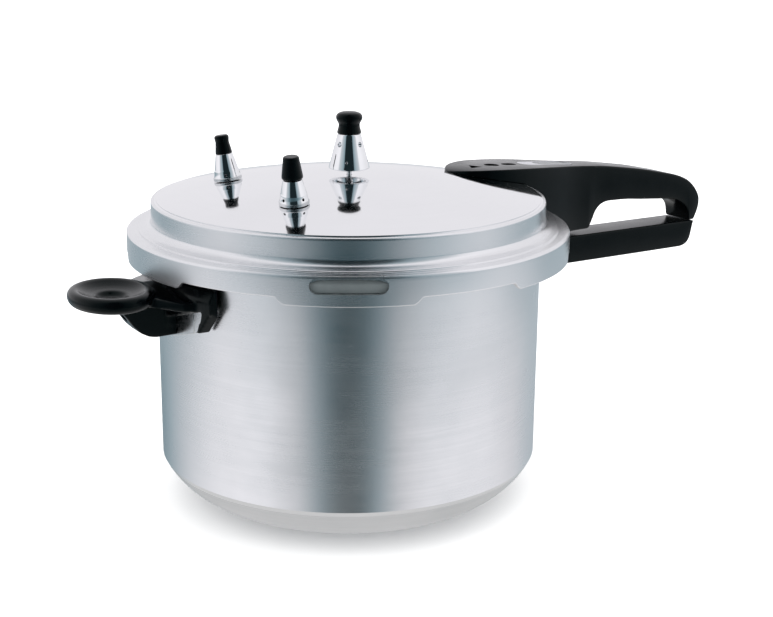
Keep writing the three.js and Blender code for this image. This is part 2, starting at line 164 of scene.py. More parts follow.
def make_object(name, verts, faces, matrix=None):
    """Mesh object from points in mm, outward facing, with double points merged."""
    mesh = bpy.data.meshes.new(name)
    mesh.from_pydata([Vector(v) * MM for v in verts], [], faces)
    if matrix is not None:
        moved = matrix.copy()
        moved.translation = matrix.translation * MM
        mesh.transform(moved)
    bm = bmesh.new()
    bm.from_mesh(mesh)
    bmesh.ops.remove_doubles(bm, verts=bm.verts, dist=1e-6)
    bmesh.ops.dissolve_degenerate(bm, edges=bm.edges, dist=1e-6)
    bmesh.ops.recalc_face_normals(bm, faces=bm.faces)
    bm.to_mesh(mesh)
    bm.free()
    obj = bpy.data.objects.new(name, mesh)
    bpy.context.scene.collection.objects.link(obj)
    return obj


def turned(name, profile, segments, matrix=None, ring=False):
    """Solid of revolution from (radius, height) points, or from a function of the angle."""
    at = profile if callable(profile) else (lambda angle: profile)
    verts, faces = [], []
    count = len(at(0.0))
    for s in range(segments):
        angle = TAU * s / segments
        c, n = math.cos(angle), math.sin(angle)
        verts += [(r * c, r * n, z) for r, z in at(angle)]
    last = count if ring else count - 1
    for s in range(segments):
        here, there = s * count, (s + 1) % segments * count
        for k in range(last):
            m = (k + 1) % count
            if max(abs(verts[k][0]), abs(verts[m][0])) > 1e-9:
                faces.append((here + k, there + k, there + m, here + m))
    return make_object(name, verts, faces, matrix)


def loft(name, stations, corner_steps=4):
    """Bar along X with rounded corners, from (x, low, high, half width, radius) stations."""
    verts, faces = [], []
    around = 4 * (corner_steps + 1)
    for x, low, high, half, radius in stations:
        r = min(radius, (high - low) * 0.49, half * 0.98)
        for quarter, (sy, sz) in enumerate(((1, 1), (-1, 1), (-1, -1), (1, -1))):
            cy = sy * (half - r)
            cz = high - r if sz > 0 else low + r
            for k in range(corner_steps + 1):
                angle = TAU / 4 * (quarter + k / corner_steps)
                verts.append((x, cy + r * math.cos(angle), cz + r * math.sin(angle)))
    for s in range(len(stations) - 1):
        for k in range(around):
            m = (k + 1) % around
            a, b = s * around, (s + 1) * around
            faces.append((a + k, a + m, b + m, b + k))
    faces.append(tuple(range(around)))
    end = (len(stations) - 1) * around
    faces.append(tuple(range(end, end + around)))
    return make_object(name, verts, faces)


def prism(name, outline, low, high, axis="Z", matrix=None):
    """Closed prism over an outline. Axis Z takes (x, y) points, Y takes (x, z), X takes (y, z)."""
    place = {
        "Z": lambda a, b, c: (a, b, c),
        "Y": lambda a, b, c: (a, c, b),
        "X": lambda a, b, c: (c, a, b),
    }[axis]
    n = len(outline)
    verts = [place(a, b, low) for a, b in outline] + [place(a, b, high) for a, b in outline]
    faces = [tuple(range(n)), tuple(range(n, 2 * n))]
    faces += [(k, (k + 1) % n, n + (k + 1) % n, n + k) for k in range(n)]
    return make_object(name, verts, faces, matrix)


def rod(name, radius, low, high, matrix=None, segments=32):
    return turned(name, [(0, low), (radius, low), (radius, high), (0, high)], segments, matrix)


def apply_modifiers(obj):
    graph = bpy.context.evaluated_depsgraph_get()
    mesh = bpy.data.meshes.new_from_object(obj.evaluated_get(graph))
    obj.modifiers.clear()
    obj.data = mesh
    return obj


def combine(obj, others, operation):
    for other in others:
        modifier = obj.modifiers.new("bool", "BOOLEAN")
        modifier.operation = operation
        modifier.solver = "EXACT"
        modifier.object = other
    apply_modifiers(obj)
    for other in others:
        bpy.data.objects.remove(other)
    return obj


def bar_outline(half, low, high, steps=12):
    """Outline with half-round ends, in the two directions of a prism."""
    radius, middle = (high - low) / 2, (high + low) / 2
    out = []
    for side, start in ((1, -90), (-1, 90)):
        for k in range(steps + 1):
            angle = math.radians(start + 180 * k / steps)
            across = side * (half - radius) + radius * math.cos(angle)
            out.append((across, middle + radius * math.sin(angle)))
    return out


def turn_z(degrees):
    return Matrix.Rotation(math.radians(degrees), 4, "Z")


def radial(degrees, height):
    """Matrix that points what was made along -Z out from the axis, at an angle and height."""
    return turn_z(degrees) @ Matrix.Translation((0, 0, height)) @ Matrix.Rotation(-TAU / 4, 4, "Y")


def finish_piece(obj, body, looks, node=None, sharp=32, choose=None):
    """Shades, paints and attaches a piece, and hides the CAD node it stands for.

    With several looks, choose gives a face's look from its centre, in mm, and its normal.
    """
    mesh = obj.data
    for polygon in mesh.polygons:
        polygon.use_smooth = True
    mesh.set_sharp_from_angle(angle=math.radians(sharp))
    mesh.materials.clear()
    for look in looks if isinstance(looks, list) else [looks]:
        mesh.materials.append(look)
    if choose:
        for polygon in mesh.polygons:
            polygon.material_index = choose(polygon.center / MM, polygon.normal)
    if node:
        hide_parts(node)
    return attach(obj, body)


def lerp(a, b, share):
    return a + (b - a) * share


def lug_share(angle, wide, narrow):
    """1 within narrow degrees of one of the six lugs, falling to 0 at wide degrees."""
    off = abs((math.degrees(angle) + 30) % 60 - 30)
    return 1 - smoothstep(narrow, wide, off)


def sector(name, profile, start, end, steps=48):
    """Part of a ring of revolution between two angles, from a closed profile or a function."""
    at = profile if callable(profile) else (lambda degrees: profile)
    verts, faces = [], []
    count = len(at(start))
    for s in range(steps + 1):
        degrees = lerp(start, end, s / steps)
        c, n = math.cos(math.radians(degrees)), math.sin(math.radians(degrees))
        verts += [(r * c, r * n, z) for r, z in at(degrees)]
    for s in range(steps):
        a, b = s * count, (s + 1) * count
        faces += [(a + k, b + k, b + (k + 1) % count, a + (k + 1) % count) for k in range(count)]
    faces += [tuple(range(count)), tuple(range(steps * count, (steps + 1) * count))]
    return make_object(name, verts, faces)


def convex(name, points):
    mesh = bpy.data.meshes.new(name)
    bm = bmesh.new()
    for point in points:
        bm.verts.new(Vector(point) * MM)
    bmesh.ops.convex_hull(bm, input=bm.verts)
    bm.to_mesh(mesh)
    bm.free()
    obj = bpy.data.objects.new(name, mesh)
    bpy.context.scene.collection.objects.link(obj)
    return obj


# ---------------------------------------------------------------- materials

def node(look, kind, inputs=None, **settings):
    """Adds a shader node. Inputs take a value, or another node's output to link."""
    made = look.node_tree.nodes.new(kind)
    for key, value in settings.items():
        setattr(made, key, value)
    for key, value in (inputs or {}).items():
        if isinstance(value, bpy.types.NodeSocket):
            look.node_tree.links.new(value, made.inputs[key])
        else:
            made.inputs[key].default_value = value
    return made


def math_node(look, operation, *values):
    made = node(look, "ShaderNodeMath", dict(enumerate(values)), operation=operation)
    return made.outputs[0]


def noise(look, vector, scale, detail=2.0, roughness=0.5):
    inputs = {"Vector": vector, "Scale": scale, "Detail": detail, "Roughness": roughness}
    return node(look, "ShaderNodeTexNoise", inputs).outputs["Fac"]


def spread(look, value, low, high, start=0.3, end=0.7):
    """Value rescaled from start..end to low..high, and held there."""
    inputs = {"Value": value, "From Min": start, "From Max": end, "To Min": low, "To Max": high}
    return node(look, "ShaderNodeMapRange", inputs).outputs["Result"]


def mix_colours(look, share, first, second):
    made = node(look, "ShaderNodeMix", data_type="RGBA")
    for socket, value in zip((made.inputs[0], made.inputs[6], made.inputs[7]), (share, first, second)):
        if isinstance(value, bpy.types.NodeSocket):
            look.node_tree.links.new(value, socket)
        else:
            socket.default_value = value
    return made.outputs[2]


def start_look(name, **sockets):
    look = bpy.data.materials.new(name)
    look.use_nodes = True
    shader = look.node_tree.nodes["Principled BSDF"]
    for key, value in sockets.items():
        shader.inputs[key.replace("_", " ")].default_value = value
    place = node(look, "ShaderNodeTexCoord").outputs["Object"]
    return look, shader, place


def connect(look, shader, colour=None, roughness=None, height=None, strength=0.1, distance=0.0001):
    links = look.node_tree.links
    if colour:
        links.new(colour, shader.inputs["Base Color"])
    if roughness:
        links.new(roughness, shader.inputs["Roughness"])
    if height:
        inputs = {"Height": height, "Strength": strength, "Distance": distance}
        bump = node(look, "ShaderNodeBump", inputs)
        links.new(bump.outputs["Normal"], shader.inputs["Normal"])
    return look


def lathe_coordinates(look, place, pitch):
    """Coordinates that barely change round the axis, and by 1 for each pitch across the cut."""
    flat = node(look, "ShaderNodeVectorMath", {0: place, 1: (1, 1, 0)}, operation="MULTIPLY")
    around = node(look, "ShaderNodeVectorMath", {0: flat.outputs[0]}, operation="NORMALIZE")
    radius = node(look, "ShaderNodeVectorMath", {0: flat.outputs[0]}, operation="LENGTH")
    height = node(look, "ShaderNodeSeparateXYZ", {0: place}).outputs["Z"]
    across = math_node(look, "SUBTRACT", radius.outputs["Value"], height)
    lines = node(look, "ShaderNodeCombineXYZ", {"Z": math_node(look, "DIVIDE", across, pitch)})
    inputs = {0: around.outputs[0], 1: (1.4, 1.4, 1.4), 2: lines.outputs[0]}
    return node(look, "ShaderNodeVectorMath", inputs, operation="MULTIPLY_ADD").outputs[0]


def aluminium(name, rough, light, dark, line_bump=0.12, smudge=0.05):
    """Turned aluminium: fine lathe lines, soft stains, and small marks from handling."""
    look, shader, place = start_look(name, Metallic=1.0)
    fine = noise(look, lathe_coordinates(look, place, 0.0004), 1.0, 3.0, 0.7)
    broad = noise(look, lathe_coordinates(look, place, 0.004), 1.0, 2.0)
    stain = noise(look, place, 14.0, 4.0, 0.55)
    scuffs = noise(look, place, 420.0, 2.0)
    lines = math_node(look, "ADD", spread(look, fine, 0, 0.6), spread(look, broad, 0, 0.4))
    share = math_node(look, "MULTIPLY_ADD", lines, 0.35, spread(look, stain, 0, 0.65))
    colour = mix_colours(look, share, light, dark)
    smear = spread(look, stain, rough - smudge, rough + smudge)
    roughness = math_node(look, "MULTIPLY_ADD", lines, 0.05, smear)
    height = math_node(look, "MULTIPLY_ADD", scuffs, 0.15, lines)
    return connect(look, shader, colour, roughness, height, line_bump, 0.00004)


def bright_metal(name, light, dark, low, high, bump=0.05, scale=160.0):
    """Plated or polished metal with faint waviness, finger smears and hairline scratches."""
    look, shader, place = start_look(name, Metallic=1.0)
    smear = noise(look, place, 60.0, 4.0, 0.6)
    stretched = node(look, "ShaderNodeVectorMath", {0: place, 1: (900, 900, 90)}, operation="MULTIPLY")
    hairlines = noise(look, stretched.outputs[0], 1.0, 3.0, 0.7)
    roughness = math_node(look, "MULTIPLY_ADD", hairlines, 0.03, spread(look, smear, low, high))
    colour = mix_colours(look, spread(look, smear, 0, 1), light, dark)
    wave = noise(look, place, scale, 2.0)
    return connect(look, shader, colour, roughness, wave, bump, 0.00008)


def bakelite_look():
    """Moulded phenolic plastic: glossy black with slight orange peel, dust and rub marks."""
    sockets = {"Specular_IOR_Level": 0.5, "IOR": 1.5, "Specular_Tint": (0.1, 0.15, 0.14, 1)}
    look, shader, place = start_look("bakelite", **sockets)
    peel = noise(look, place, 900.0, 3.0, 0.6)
    rub = noise(look, place, 45.0, 5.0, 0.65)
    specks = noise(look, place, 2600.0, 1.0)
    dust = spread(look, specks, 0, 0.35, 0.66, 0.8)
    worn = math_node(look, "ADD", dust, spread(look, rub, 0, 0.6, 0.35, 0.75))
    colour = mix_colours(look, worn, (0.0005, 0.0008, 0.0012, 1), (0.0014, 0.0021, 0.0027, 1))
    roughness = spread(look, rub, 0.15, 0.27)
    return connect(look, shader, colour, roughness, peel, 0.14, 0.00008)


def silicone_look():
    look, shader, place = start_look("silicone", Specular_IOR_Level=0.4)
    mottle = noise(look, place, 90.0, 4.0)
    grain = noise(look, place, 1500.0, 2.0)
    colour = mix_colours(look, spread(look, mottle, 0, 1), (0.105, 0.125, 0.13, 1), (0.08, 0.096, 0.1, 1))
    return connect(look, shader, colour, spread(look, mottle, 0.38, 0.52), grain, 0.2)


def dark_band_and_reflection_look():
    """Dark band in the handle's plate, whose dark colour also paints the dark reflection in the plate's
    lower part.
    """
    look, shader, place = start_look("dark_band_and_reflection", Coat_Weight=0.4, Coat_Roughness=0.08)
    cloud = noise(look, place, 120.0, 3.0)
    # painted reflection: these dark colours also stand in for the dark reflection in the plate's lower part
    colour = mix_colours(look, spread(look, cloud, 0, 1), (0.008, 0.017, 0.02, 1), (0.02, 0.035, 0.04, 1))
    return connect(look, shader, colour, spread(look, cloud, 0.18, 0.3), cloud, 0.1)


satin = aluminium("turned_aluminium", 0.23, (0.9, 0.9, 0.91, 1), (0.8, 0.81, 0.82, 1), 0.05)
inside = aluminium("inner_aluminium", 0.34, (0.8, 0.8, 0.81, 1), (0.68, 0.69, 0.7, 1), 0.2)
mirror = aluminium("polished_aluminium", 0.05, (0.93, 0.93, 0.94, 1), (0.88, 0.88, 0.89, 1), 0.015, 0.015)
chrome = bright_metal("chrome", (0.93, 0.94, 0.95, 1), (0.86, 0.87, 0.88, 1), 0.02, 0.06)
steel = bright_metal("steel", (0.72, 0.73, 0.74, 1), (0.58, 0.6, 0.61, 1), 0.16, 0.3, 0.15)
plate = bright_metal("plate", (0.82, 0.83, 0.87, 1), (0.7, 0.71, 0.75, 1), 0.14, 0.24, 0.1)
bakelite = bakelite_look()
silicone = silicone_look()
dark_band_and_reflection = dark_band_and_reflection_look()


# ---------------------------------------------------------------- pot

def between(first, second, share):
    return [(lerp(a, c, share), lerp(b, d, share)) for (a, b), (c, d) in zip(first, second)]


PLAIN_RIM = [(125.6, 164.8), (127.3, 165.1), (RIM_FLANGE, 165.5), (RIM_FLANGE, 167.2), (127.2, 167.8),
             (126.6, 168.25), (125.5, RIM_TOP)]
LUG_RIM = [(125.6, 164.5), (133.2, 160.7), (LUG_REACH, 161.2), (LUG_REACH, 162.9), (133.1, 163.5),
           (126.8, 167.2), (125.2, 168.1)]
POT_BASE = [(0, 0.35), (29.5, 0.35), (30.3, 0), (67.6, 0), (68.3, 0.45), (71.7, 0.45), (72.4, 0)]
POT_OUT = [(POT_R, z) for z in (29.4, 60, 100, 140, 163.8)] + [(122.5, 164.3)]
POT_IN = [(120.7, RIM_TOP), (120.1, 167.9)] + [(INNER_R, z) for z in (167.2, 140, 100, 60, 30.4)]
POT_FLOOR = 5
bevel_out = arc((BASE_R, 0), (POT_R, BEVEL_TOP), 6, 16)
bevel_in = arc((BASE_R, POT_FLOOR), (INNER_R, BEVEL_TOP + 1), 5, 10)[::-1]


def pot_profile(angle):
    rim = between(PLAIN_RIM, LUG_RIM, lug_share(angle, 12.7, 11.7))
    return POT_BASE + bevel_out + POT_OUT + rim + POT_IN + bevel_in + [(60, POT_FLOOR), (0, POT_FLOOR)]


def shank_holes(spots):
    """Rods through the wall and a bracket, one for each rivet."""
    return [rod("cut", SHANK_HOLE, -127.3, -117, spot) for spot in spots]


rivet_spots = {
    "helper_rivet_upper": radial(180, 145),
    "helper_rivet_lower": radial(180, 127),
    "lower_rivet_left": radial(11.25, 140.2),
    "lower_rivet_right": radial(-11.25, 140.2),
}
pot = turned("pot_body_detail", pot_profile, 360)
combine(pot, shank_holes(rivet_spots.values()), "DIFFERENCE")
finish_piece(
    pot, "pot", [satin, inside], "pot_body", 24,
    lambda c, n: 1 if math.hypot(c.x, c.y) < INNER_R + 0.05 and c.z > POT_FLOOR - 0.5 else 0,
)


# ---------------------------------------------------------------- lid and gasket

def lid_outer(grow=0.0):
    """The lid's outside above the skirt, from the shoulder to the rim round the dome."""
    shoulder = [(139.94, 170.4), (139.93, 171.2), (139.92, 173.2), (139.9, 173.6), (139.7, 174.2),
                (139.25, 174.75), (138.5, 175.0)]
    ledge = [(137.4, 175.05), (132.9, 175.15), (132.6, 175.3), (132.5, 175.85), (132.2, 176.05),
             (131.4, 176.1), (129.2, 176.25), (127.6, 176.7), (126.3, 177.4), (125.3, 178.4),
             (124.75, 179.4), (STEP_WALL, 180.4), (STEP_WALL, 180.9)]
    rim = [(STEP_WALL, 191.0), (STEP_WALL, 191.4), (124.5, 192.0), (124.1, 192.5), (123.4, 192.75)]
    return [(r + grow, z + grow * 0.7) for r, z in shoulder + ledge + rim]


def lid_profile(angle):
    drop = lug_share(angle, 17.3, 15.1)
    tooth = lug_share(angle, 13.7, 12.7)
    low = lerp(SKIRT_LOW, LUG_LOW + 0.05, drop)
    reach = lerp(SKIRT_IN, 128.6, tooth)
    heel = lerp(SKIRT_IN, 136.5, tooth)
    skirt = [
        (SKIRT_IN, 169.4), (SKIRT_IN, low + 3.3), (heel, low + 2.65), (min(reach + 0.4, heel), low + 2.65),
        (reach, low + 2.2), (reach, low + 0.45), (reach + 0.45, low), (139.75, low),
        (139.93, low + 0.1), (SKIRT_R, low + 0.35), (SKIRT_R, low + 0.6), (SKIRT_R, low + 0.9),
    ]
    crease = [(r, dome_z(r) - CREASE_DEPTH) for r in (122.6, 121.3)] + [(121.25, dome_z(121.25))]
    dome = [(r, dome_z(r)) for r in range(120, -1, -8)]
    under = [(r, dome_z(r, -SHEET)) for r in (0, 20, 40, 60, 80, 100, 112, 119)]
    inner = [(121.4, 189.2), (122.1, 188.2), (122.1, 173.3), (122.7, LEDGE_UNDER), (134.3, LEDGE_UNDER),
             (136.3, 171.7)]
    return skirt + lid_outer() + crease + dome + under + inner


def dome_rod(x, y, radius, low, high):
    return rod("cut", radius, low, high, on_dome(x, y))


SCREWS = {"upper_handle_screw_rear": (108, 12), "upper_handle_screw_front": (108, -12)}
lid = turned("lid_shell_detail", lid_profile, 360, ring=True)
window = prism("cut", bar_outline(21.9, 164.5, 173.8), 135.2, 150, "X", turn_z(FRONT))
lid_cuts = [window, dome_rod(0, 0, 1.9, -8, 4)]
lid_cuts += [dome_rod(VALVE_X, side * VALVE_Y, 4.3, -8, 4) for side in (1, -1)]
lid_cuts += [dome_rod(x, y, SCREW_HOLE, -8, 5.6) for x, y in SCREWS.values()]
combine(lid, lid_cuts, "DIFFERENCE")


def lid_look(centre, normal):
    """Polished on the dome, satin round it, and duller underneath."""
    radius = math.hypot(centre.x, centre.y)
    if radius < 122.2 and normal.z > 0.5 and centre.z > dome_z(radius) - 1:
        return 1
    under = centre.z < dome_z(min(radius, 120)) - 1 and radius < SKIRT_IN + 0.1
    return 2 if under and radius < 136 and (normal.z < 0.2 and radius < 122.2 or normal.z < -0.5) else 0


finish_piece(lid, "lid", [satin, mirror, inside], "lid_shell", 24, lid_look)

GASKET = [(121.6, 168.6, 0.5), (133.6, 168.6, 0.8), (134.4, 164.4, 0.4), (136.6, 164.4, 0.5),
          (136.9, 169.7, 0.8), (134.3, 172.4, 0.8), (121.6, 172.4, 0.8), (120.6, 170.6, 0.8)]
gasket = turned("sealing_gasket_detail", rounded(GASKET), 240, ring=True)
finish_piece(gasket, "lid", silicone, "sealing_gasket", 40)


# ---------------------------------------------------------------- upper handle

def plate_top(x):
    return 203.4 - 0.0721 * (x - 117)


upper_high = curve([
    (75.6, 202.3), (78, 202.9), (84, 203.6), (97, 204.0), (117, 203.4), (178, plate_top(178)), (200, 197.1),
    (216, 194.9), (236, 191.8), (254, 188.1), (264, 185.9), (271, 183.8), (278, 180.7), (283, 177.0),
    (286.5, 173.2), (288.9, 169.4), (290.1, 166.6), (290.6, 164.6),
])
upper_low = curve([
    (75.6, 154.05), (184, 154.05), (186.4, 154.4), (187.6, 156.4), (189.6, 160.4), (191.6, 164.5),
    (194.6, 168.2), (198.5, 170.6), (204, 171.8), (218, 171.6), (234, 170.2), (250, 168.9), (262, 167.8),
    (268, 166.7), (273.6, 164.1), (277.6, 160.9), (280.3, 156.6), (281.1, 152.4), (281.4, 150.3),
    (285.6, 150.3), (287, 152.6), (288.6, 156.4), (290, 160.2), (290.6, 162.6),
])
upper_half = curve([
    (75.6, 1.4), (76, 3.6), (77, 6.2), (79.6, 10.4), (84, 15), (90, 18.8), (97, 21.4), (104, 22.8),
    (112, 23.2), (121, 23), (130, 22.2), (143, 20.1), (155, 17.6), (167, 14.9), (178, 13.4), (190, 12.8),
    (200, BAR_HALF), (288.6, BAR_HALF), (290, 12.3), (290.6, 11.4),
])
upper_xs = [75.6, 75.8, 76, 76.4, 77, 78, 79.2, 80.6, 82.2, 84, 86.5, 89, 92, 95, 98.5, 102]
upper_xs += [*range(106, 183, 4), 183, 184.6, 185.6, 186.4, 187, 188, 189, 190, 191.2, 192.4, 193.6]
upper_xs += [194.8, 196, 197.5, 199, 201, 203.5, 207, *range(211, 260, 6), 261, 264, 267, 269.5, 271.5]
upper_xs += [273.2, 274.8, 276.2, 277.6, 278.8, 279.6, 280.3, 280.8, 281.1, 281.4, 283.4, 285.6, 286.3]
upper_xs += [287, 287.8, 288.6, 289.4, 289.8, 290.1, 290.25]
TONGUE_EDGE, GRIP_EDGE = 1.1, 1.7  # corner radii of the handle before and after GRIP_START
GRIP_START = 190
upper = loft(
    "upper_handle_detail",
    [(x, upper_low(x), upper_high(x), upper_half(x), GRIP_EDGE if x > GRIP_START else TONGUE_EDGE)
     for x in upper_xs], 5,
)
envelope_top = [(r, dome_z(r, GAP)) for r in (122.6, *range(120, -1, -10))]
lid_envelope = turned("cut", [(0, 100), (140.3, 100), *lid_outer(GAP), *envelope_top], 240)


def stadium(half_length, half_width, centre_x):
    flat = bar_outline(half_length, -half_width, half_width)
    return [(x + centre_x, y) for x, y in flat]


def slab(name, outline, top, depth):
    """Plate under an outline whose top follows the handle's slope, at a height above it."""
    n = len(outline)
    verts = [(x, y, plate_top(x) + top - depth) for x, y in outline]
    verts += [(x, y, plate_top(x) + top) for x, y in outline]
    faces = [tuple(range(n)), tuple(range(n, 2 * n))]
    faces += [(k, (k + 1) % n, n + (k + 1) % n, n + k) for k in range(n)]
    return make_object(name, verts, faces)


PLATE_X, PLATE_HALF = 155.0, 22.0
PANEL_X, PANEL_HALF = 161.2, 15.3
MARK_Y, MARK_HIGH = -2, 206
triangle = [(89.5, -6.6), (98.5, -6.6), (94, 3)]
dot_angles = [TAU * k / 32 for k in range(32)]
dot = [(109 + 5.1 * math.cos(angle), 5.1 * math.sin(angle) + MARK_Y) for angle in dot_angles]
pill = [(123 + x, y + MARK_Y) for x, y in bar_outline(5.4, -3.8, 3.8)]
mark_floors = ((triangle, 203.05), (dot, 202.9), (pill, 202.2))
marks = [prism("cut", outline, low, MARK_HIGH) for outline, low in mark_floors]
plate_recess = slab("cut", stadium(PLATE_HALF + 0.3, 7.3, PLATE_X), 4, 5.1)
screw_cuts = [dome_rod(x, y, SCREW_HOLE, -8, 5.6) for x, y in SCREWS.values()]
combine(upper, [lid_envelope, *marks, plate_recess, *screw_cuts], "DIFFERENCE")
finish_piece(upper, "lid", bakelite, "upper_handle", 30)

inlay = slab("handle_inlay_plate_detail", stadium(PLATE_HALF, 7, PLATE_X), 0.3, 1.1)
panel_cut = slab("cut", stadium(PANEL_HALF + 0.1, 6.3, PANEL_X), 1.3, 1.4)
combine(inlay, [panel_cut], "DIFFERENCE")
finish_piece(inlay, "lid", plate, "handle_inlay_plate", 30)
# dark band on the plate: partly a decorative band, partly a painted reflection of the dark in the plate's
# lower part
panel = slab("handle_inlay_dark_band_and_reflection", stadium(PANEL_HALF, 6.2, PANEL_X), 0.12, 0.2)
finish_piece(panel, "lid", dark_band_and_reflection, None, 30)


# ---------------------------------------------------------------- fasteners

def fastener(name, body, matrix, head, height, shank, length):
    """Pan-head screw with a cross recess, replacing the CAD node of the same name."""
    outline = [(0, -height), (head * 0.45, -height * 0.97), (head * 0.75, -height * 0.86),
               (head * 0.93, -height * 0.6), (head, -height * 0.3), (head, -0.05), (head - 0.05, 0),
               (shank, 0), (shank, length - 0.4), (shank - 0.4, length), (0, length)]
    screw = turned(name + "_detail", outline, 48, matrix)
    arm, width = head * 0.55, head * 0.13
    cross = [(arm, width), (-arm, width), (-arm, -width), (arm, -width)]
    cuts = [prism("cut", cross, -height - 1, -height * 0.5, "Z", matrix)]
    cuts.append(prism("cut", [(y, x) for x, y in cross], -height - 1, -height * 0.5, "Z", matrix))
    combine(screw, cuts, "DIFFERENCE")
    finish_piece(screw, body, steel, name, 34)


for screw_name, (x, y) in SCREWS.items():
    seat = on_dome(x, y) @ Matrix.Translation((0, 0, -SHEET - GAP))
    fastener(screw_name, "lid", seat, 4, 2.4, 2, 7.6)
fastener("lower_handle_screw", "pot", Matrix.Translation((LOWER_SCREW_X, 0, 132.9)), 4.2, 2.2, 2, 11)
helper_seat = Matrix.Translation((-140.5, 0, HELPER_SCREW_Z)) @ Matrix.Rotation(TAU / 4, 4, "Y")
fastener("helper_handle_screw", "pot", helper_seat, 4.4, 2.2, 2, 14.6)

RIVET = [(0, -126.2), (1.2, -126.15), (2.4, -125.9), (3.2, -125.4), (3.6, -124.8), (3.55, -124.6),
         (2.5, -124.6), (2.5, -118.9), (4.6, -118.9), (4.5, -118.5), (3.9, -117.9), (2.6, -117.6),
         (0, -117.5)]
for rivet_name, spot in rivet_spots.items():
    rivet = turned(rivet_name + "_detail", RIVET, 40, spot)
    finish_piece(rivet, "pot", steel, rivet_name, 34)


# ---------------------------------------------------------------- lower handle and bracket

lower_low = curve([(115, 130.5), (274, 131.1), (278, 131.9), (281, 133.7), (282.8, 136.6), (283.7, 140),
                   (284.7, 145), (285.6, 149.1)])
lower_high = curve([(115, LOWER_TOP), (284.6, LOWER_TOP), (285.6, LOWER_TOP - 0.4)])
lower_xs = [115, *range(124, 270, 8), 271, 274, 276, 278, 279.6, 281, 282, 282.8, 283.3, 283.7, 284.2]
lower_xs += [284.7, 285.2, 285.6]
LOWER_EDGE = 1.5
lower_stations = [(x, lower_low(x), lower_high(x), BAR_HALF, LOWER_EDGE) for x in lower_xs]
lower = loft("lower_handle_detail", lower_stations, 5)


def pot_clearance(radius):
    """Cylinder that cuts a handle or bracket back from the pot."""
    return rod("cut", radius, 50, 200, segments=240)


def tongue_box(grow):
    """The bracket's tongue inside the lower handle, or the room for it."""
    half = 8 + grow
    outline = [(120, -half), (162 + grow, -half), (162 + grow, half), (120, half)]
    return prism("cut", outline, 137 - grow, 140 + grow)


def lower_screw_hole():
    spot = Matrix.Translation((LOWER_SCREW_X, 0, 0))
    return [rod("cut", SCREW_HOLE, 120, 146, spot), rod("cut", 4.6, 120, 133.2, spot)]


lower_cuts = [pot_clearance(BRACKET_OUT + GAP), tongue_box(GAP), *lower_screw_hole()]
combine(lower, lower_cuts, "DIFFERENCE")
finish_piece(lower, "pot", bakelite, "lower_handle", 30)

lower_plate = sector("lower_handle_bracket_detail", rounded([
    (BRACKET_IN, 133, 0.4), (BRACKET_OUT, 133, 0.4), (BRACKET_OUT, 147, 0.4), (BRACKET_IN, 147, 0.4),
]), -15, 15)
tongue = tongue_box(0)
combine(tongue, [pot_clearance(BRACKET_IN + GAP)], "DIFFERENCE")
combine(lower_plate, [tongue], "UNION")
combine(lower_plate, lower_screw_hole() + shank_holes(list(rivet_spots.values())[2:]), "DIFFERENCE")
finish_piece(lower_plate, "pot", steel, "lower_handle_bracket", 34)


# ---------------------------------------------------------------- helper handle and bracket

GRIP_X, GRIP_A, GRIP_B = -160.5, 25.3, 30.5
GRIP_LOW, WELL_FLOOR = 143.2, 145.3
DISH = 0.82  # share of the grip's half width at the dish's edge
WELL = 0.36  # and where the dish turns down into its well
GRIP_SECTION = [
    (0, GRIP_LOW), (0.84, GRIP_LOW), (0.92, 144.0), (0.98, 146.0), (1, 148.2), (0.985, 150.2),
    (0.945, 151.7), (0.885, 152.6), (DISH, 152.8), (0.765, 152.3), (0.7, 151.2), (0.6, 149.8),
    (0.5, 148.9), (WELL, 148.2), (0.3, 146.4), (0.25, 145.5), (0, WELL_FLOOR),
]


def turned_oval(name, section, around=120):
    """Solid with an oval plan from (share of the half widths, z), centred on the grip."""
    verts, faces = [], []
    inner = [(share, z) for share, z in section if share > 0]
    count = len(inner)
    for s in range(around):
        c, n = math.cos(TAU * s / around), math.sin(TAU * s / around)
        verts += [(GRIP_X + GRIP_A * share * c, GRIP_B * share * n, z) for share, z in inner]
    for s in range(around):
        a, b = s * count, (s + 1) % around * count
        faces += [(a + k, b + k, b + k + 1, a + k + 1) for k in range(count - 1)]
    ends = [(section[0][1], 0), (section[-1][1], count - 1)]
    for z, row in ends:
        centre = len(verts)
        verts.append((GRIP_X, 0, z))
        for s in range(around):
            a, b = s * count + row, (s + 1) % around * count + row
            faces.append((centre, b, a) if row == 0 else (centre, a, b))
    return make_object(name, verts, faces)


def both_sides(x, y, z):
    return [(x, y, z), (x, -y, z)]


helper = turned_oval("helper_handle_detail", GRIP_SECTION)
neck_corners = [(-148, 21, 144.4), (-147, 18.6, 149.6), (-131, 37.5, 142.6), (-131, 37.5, 147.6),
                (-133.6, 1, 153.6), (-118, 2, 154.6), (-118, 43, 148.2), (-118, 43, 142.6)]
neck = convex("neck", [point for corner in neck_corners for point in both_sides(*corner)])
SEAT_ANGLE = 22.7
SEAT_SECTION = [(120, 127.5), (130, 127.5, 1.5), (130.9, 130, 1.5), (130.9, 150, 1.2), (127, 156.7, 1.2),
                (120, 156.7)]
ARCH = [(9, 100), (70, 100), (70, 142), (49.4, 142), (41, 129.7), (38.7, 130.1), (42, 137),
        (43.9, 143.6), (21, 136.5), (9, 134)]
seat = sector("seat", rounded(SEAT_SECTION), 180 - SEAT_ANGLE, 180 + SEAT_ANGLE, 48)
for side in (1, -1):
    arch = [(side * y, z) for y, z in ARCH]
    combine(seat, [prism("cut", arch, -145, -110, "X")], "DIFFERENCE")
gusset_side = [(-118, 121.4), (-136, 121.0), (-141, 121.9), (-146, 124.6), (-150.4, 129.0), (-154.5, 135.0),
               (-158.6, 140), (-165, 145), (-118, 145.2)]
gusset = prism("gusset", gusset_side, -8.6, 8.6, "Y")

